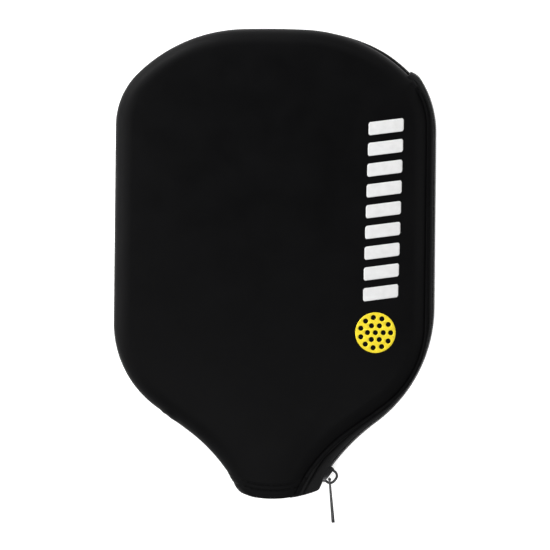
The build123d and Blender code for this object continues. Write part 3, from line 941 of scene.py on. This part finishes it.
def thread(name, base):
    """Matte twisted thread."""
    finish = Finish(name, base, 0.8, Specular_IOR_Level=0.05)
    x, y, _ = finish.place()
    twist = finish.wave(finish.math("ADD", x, y), 0.00028)
    finish.bump(twist, 0.00003)
    finish.colour(finish.spread(twist, -1, 1, 0, 1), 0.7, 1.3)
    return finish.material


def enamel(name, base):
    """Dark enamelled metal, worn to bare metal in small spots."""
    finish = Finish(name, base, 0.35, Metallic=0.9, Coat_Weight=0.3, Coat_Roughness=0.25)
    _, _, place = finish.place()
    specks = finish.cloud(1400.0, 5.0, place)
    worn = finish.spread(specks, 0.56, 0.66, 0.0, 1.0)
    finish.colour(worn, 0.8, 3.6)
    finish.rough(finish.spread(specks, 0.3, 0.7, 0.5, 0.24))
    finish.bump(finish.cloud(2600.0, 3.0, place), 0.00004)
    return finish.material


def print_ink(name, base):
    """Matte film pressed into the knit, so that the cloth's grain shows through it."""
    finish = Finish(name, base, 0.55, Specular_IOR_Level=0.35)
    x, y, place = finish.place()
    grain = finish.math("MULTIPLY", finish.wave(x, 0.0007), finish.wave(y, 0.00055))
    fine = finish.cloud(5200.0, 3.0, place)
    finish.bump(finish.math("ADD", grain, fine), 0.00003)
    mottle = finish.math("ADD", finish.math("MULTIPLY", fine, 0.5), finish.cloud(240.0, 3.0, place))
    finish.colour(finish.spread(mottle, 0.4, 1.1, 0, 1), 0.9, 1.06)
    finish.rough(finish.spread(fine, 0.3, 0.7, 0.48, 0.66))
    return finish.material


def painted(piece, material):
    """Gives a piece its one material."""
    piece.data.materials.clear()
    piece.data.materials.append(material)
    return piece


# ---- the whole object ----
def bend_at_fold(piece):
    """The front side bends over a band beside the fold line as the flap opens."""
    across = radians(FOLD_HEADING + 90)
    start = (FOLD_POINT[0] * MM, FOLD_POINT[1] * MM, THICKNESS * MM)
    end = (start[0] + BLEND_WIDTH * MM * cos(across), start[1] + BLEND_WIDTH * MM * sin(across), start[2])
    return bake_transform(piece, "case", "flap", start=start, end=end)


def build_object():
    neoprene = knit("neoprene_knit", (0.0016, 0.0016, 0.0018), 0.45, 0.0006, 0.000012,
                    Specular_IOR_Level=0.04, Sheen_Weight=0.008, Sheen_Roughness=0.35)
    brushed = knit("brushed_lining", (0.022, 0.022, 0.024), 0.92, 0.0011, 0.00016,
                   Specular_IOR_Level=0.1, Sheen_Weight=0.25, Sheen_Roughness=0.5)
    tape = woven("zip_tape_twill", (0.007, 0.007, 0.0074), 0.75, 0.9, 0.0001, Specular_IOR_Level=0.12)
    binding = woven("binding_twill", (0.02, 0.02, 0.021), 0.8, 1.2, 0.00012, Specular_IOR_Level=0.2)
    coil = nylon("zip_coil_nylon", (0.007, 0.007, 0.0075))
    metal = enamel("zip_metal_enamel", (0.018, 0.018, 0.019))
    cotton = thread("black_thread", (0.0015, 0.0015, 0.0015))
    white = print_ink("white_film", (0.58, 0.58, 0.58))
    yellow = print_ink("yellow_film", (0.70, 0.55, 0.008))

    front_halves = front_half(1), front_half(-1)
    front = sheet_mesh("front_panel_knit", *front_halves, flip=False)
    hem_fold(front)
    thickened(front, NEOPRENE)
    front_lining = inner_layer("front_lining_cloth", *front_halves, flip=False)
    back_halves = back_half(1), back_half(-1)
    back = sheet_mesh("back_panel_knit", *back_halves, flip=True)
    thickened(back, NEOPRENE)
    back_lining = inner_layer("back_lining_cloth", *back_halves, flip=True)
    front_skin, back_skin = Skin(front), Skin(back)

    bent = [
        (front, neoprene, "neoprene", ("front_panel", "front_flap")),
        (front_lining, brushed, "lining", ("front_lining", "flap_lining")),
        (tape_half("zip_tape_front_woven", 1), tape, "zip_tape", ("zip_tape_front", "zip_tape_front_neck")),
        (coil_half("zip_coil_front_wound", 1), coil, "zip_coil", ("zip_coil_front", "zip_coil_front_neck")),
        (stitches("zip_stitches_front_thread", [edge_row(front_halves[0], 6)]), cotton, "thread",
         ("zip_stitches_front",)),
        (stitches("hem_stitches_front_thread", hem_rows(front_skin, True), sunk=0.1), cotton, "thread",
         ("hem_stitches_flap", "hem_stitches_front")),
        (bars_film(front_skin), white, "print_white", ("print_bars_flap", "print_bars_panel")),
        (ball_film(front_skin), yellow, "print_yellow", ("print_ball",)),
        (softened("zip_end_stop_front", "zip_end_stop_front_clip", 0.25), metal, "zip_metal", ()),
    ]
    for piece, material, slot, nodes in bent:
        painted(piece, material)
        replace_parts(piece, *nodes)
        bend_at_fold(piece)

    fixed = [
        (back, neoprene, "neoprene", ("back_panel",)),
        (back_lining, brushed, "lining", ("back_lining",)),
        (binding_ring(), binding, "binding", ("seam_binding",)),
        (tape_half("zip_tape_back_woven", -1), tape, "zip_tape", ("zip_tape_back", "zip_tape_back_neck")),
        (coil_half("zip_coil_back_wound", -1), coil, "zip_coil", ("zip_coil_back", "zip_coil_back_neck")),
        (stitches("zip_stitches_back_thread", [edge_row(back_halves[0], 3)]), cotton, "thread",
         ("zip_stitches_back",)),
        (stitches("hem_stitches_back_thread", hem_rows(back_skin, False), sunk=0.4), cotton, "thread",
         ("hem_stitches_back",)),
        (top_stop_clip(), metal, "zip_metal", ()),
        (softened("zip_end_stop_back", "zip_end_stop_back_clip", 0.25), metal, "zip_metal", ()),
    ]
    for piece, material, slot, nodes in fixed:
        painted(piece, material)
        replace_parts(piece, *nodes)
        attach(piece, "case")

    for node, name, width, body in (
        ("slider_body", "slider_body_cast", 0.22, "slider"),
        ("slider_crown", "slider_crown_arch", 0.5, "slider"),
        ("pull_tab", "pull_tab_plate", 0.25, "tab"),
    ):
        piece = softened(node, name, width, segments=3)
        if body == "tab":
            swollen(piece, TAB_HEADING + 90, TAB_SWELL)
        painted(piece, metal)
        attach(piece, body)


# ---- studio ----
def pale_floor():
    size = FLOOR_HALF
    floor_mesh = bpy.data.meshes.new("floor")
    corners = [(-size, -size, 0), (size, -size, 0), (size, size, 0), (-size, size, 0)]
    floor_mesh.from_pydata(corners, [], [(0, 1, 2, 3)])
    floor = bpy.data.objects.new("floor", floor_mesh)
    floor.location.z = -FLOOR_DROP
    bpy.context.scene.collection.objects.link(floor)
    paper = Finish("pale_paper", (0.93, 0.93, 0.93), 0.9, Specular_IOR_Level=0.0,
                   Emission_Color=(1, 1, 1, 1), Emission_Strength=0.45)
    paper.colour(paper.cloud(30.0, 2.0), 0.985, 1.01)
    floor_mesh.materials.append(paper.material)


def soft_room():
    """An even white surround that darkens straight overhead."""
    world = bpy.data.worlds.new("soft_room")
    bpy.context.scene.world = world
    world.use_nodes = True
    nodes, links = world.node_tree.nodes, world.node_tree.links
    place = nodes.new("ShaderNodeTexCoord")
    parts = nodes.new("ShaderNodeSeparateXYZ")
    ramp = nodes.new("ShaderNodeMapRange")
    links.new(place.outputs["Generated"], parts.inputs[0])
    links.new(parts.outputs["Z"], ramp.inputs["Value"])
    for socket, value in (("From Min", 0.75), ("From Max", 0.995), ("To Min", 0.85), ("To Max", 0.0)):
        ramp.inputs[socket].default_value = value
    links.new(ramp.outputs[0], nodes["Background"].inputs["Strength"])
    nodes["Background"].inputs["Color"].default_value = (1, 1, 1, 1)


def soft_lights():
    """Area lights round the case: name, place, size and watts."""
    lights = (
        ("left_softbox", (-1.3, 0.1, 0.85), (0.9, 1.4), 11.0),
        ("right_softbox", (1.4, 0.1, 0.8), (0.9, 1.4), 4.0),
        ("far_softbox", (0.0, 1.3, 1.0), (1.6, 0.6), 6.0),
        ("near_softbox", (-0.05, -0.55, 1.4), (1.2, 0.35), 8.0),
        ("crown_strip", (-0.45, 0.55, 0.17), (0.6, 0.15), 5.0),
        ("side_strip", (-0.75, -0.02, 0.17), (0.6, 0.12), 1.2),
    )
    for name, place, size, power in lights:
        light = bpy.data.lights.new(name, "AREA")
        light.shape = "RECTANGLE"
        light.size, light.size_y = size
        light.energy = power
        lamp = bpy.data.objects.new(name, light)
        lamp.location = place
        lamp.visible_camera = False
        lamp.rotation_mode = "QUATERNION"
        lamp.rotation_quaternion = (VIEW_CENTRE - Vector(place)).to_track_quat("-Z", "Y")
        bpy.context.scene.collection.objects.link(lamp)


def camera():
    data = bpy.data.cameras.new("camera")
    data.sensor_width = 36.0
    data.lens = data.sensor_width * VIEW_DISTANCE / VIEW_WIDTH
    data.clip_start, data.clip_end = 0.05, 20.0
    eye = bpy.data.objects.new("camera", data)
    eye.location = VIEW_CENTRE + Vector((0, 0, VIEW_DISTANCE))
    eye.rotation_euler = (0, 0, radians(VIEW_ROLL))
    bpy.context.scene.collection.objects.link(eye)
    bpy.context.scene.camera = eye
    bpy.context.scene.view_settings.view_transform = "Standard"


camera()
build_object()
pale_floor()
soft_room()
soft_lights()
